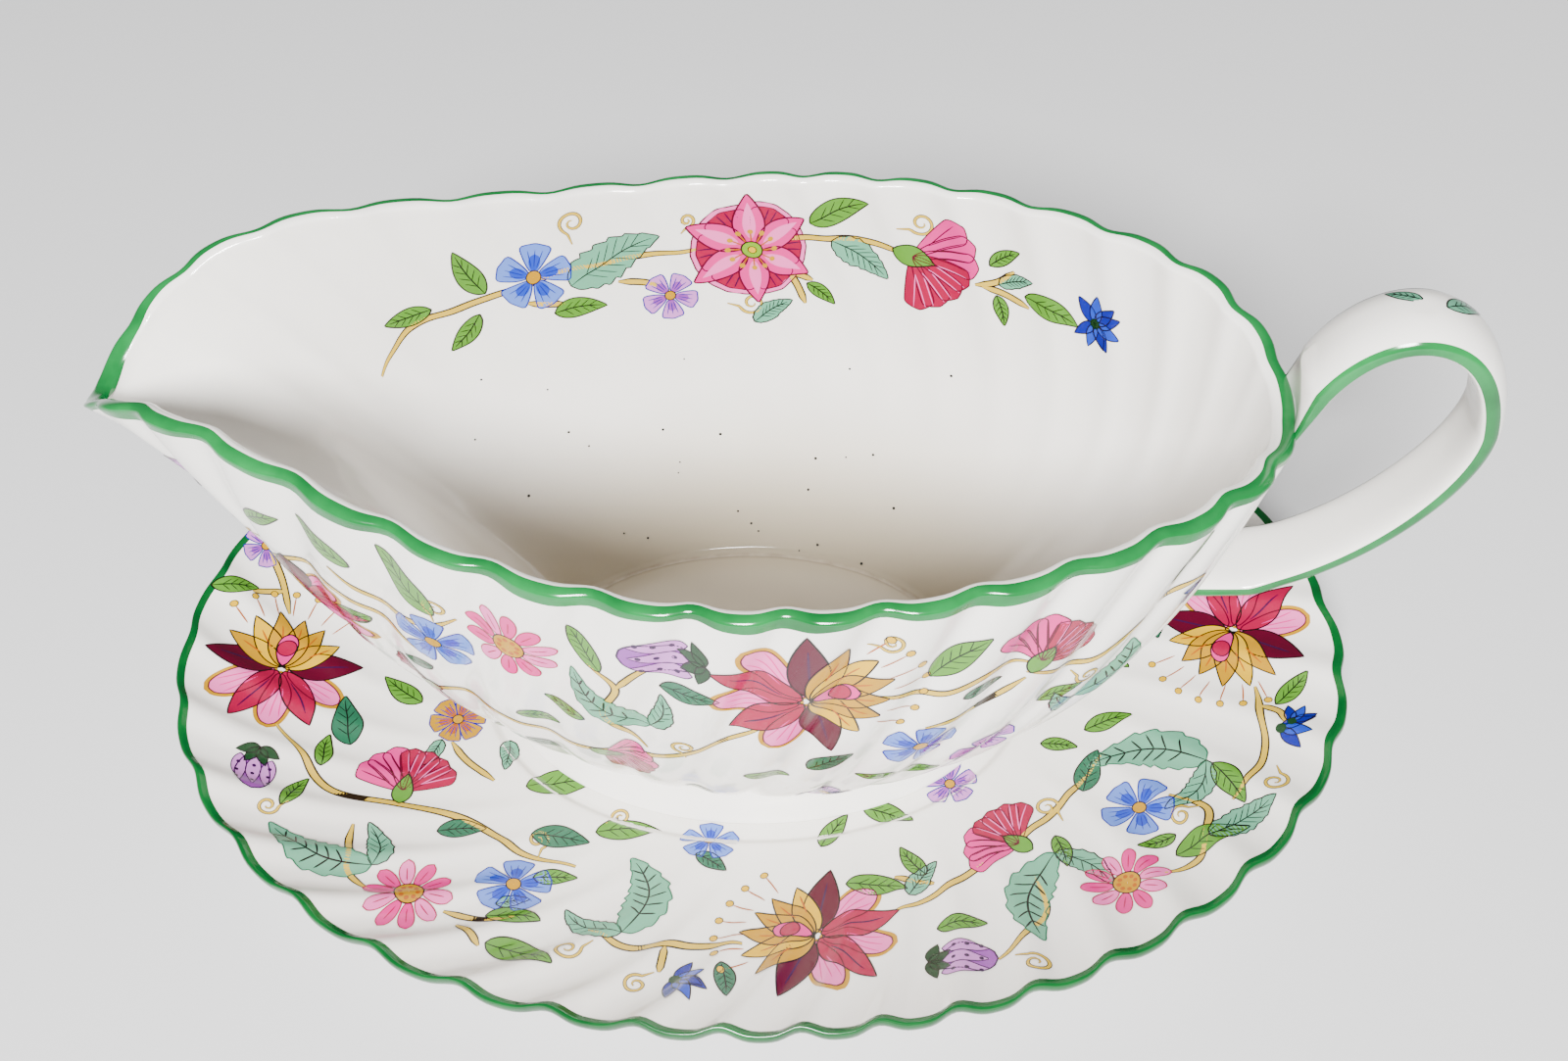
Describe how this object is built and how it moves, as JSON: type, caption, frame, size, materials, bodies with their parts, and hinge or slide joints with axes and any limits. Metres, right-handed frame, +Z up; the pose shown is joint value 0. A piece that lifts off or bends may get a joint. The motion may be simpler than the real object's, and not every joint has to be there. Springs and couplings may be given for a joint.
{
  "type": "gravy boat",
  "caption": "Fluted bone china gravy boat with a wide pouring spout and loop handle, on a separate oval scalloped stand.",
  "frame": {"origin": "middle of the oval ring that the stand rests on, at table height", "axes": "+X towards the handle, -X towards the spout, +Z up"},
  "size_m": [0.2316, 0.1599, 0.1054],
  "materials": {
    "boat_china": "glossy glaze",
    "stand_china": "glossy glaze"
  },
  "bodies": {
    "stand": {"stand_dish": "stand_china", "stand_foot": "stand_china"},
    "boat": {"boat_bowl": "boat_china", "boat_foot": "boat_china", "boat_handle": "boat_china"}
  },
  "joints": [
    {"name": "boat_lift", "type": "slide", "parent": "stand", "child": "boat", "axis": [0, 0, 1], "range_m": [0, 0.1]}
  ]
}
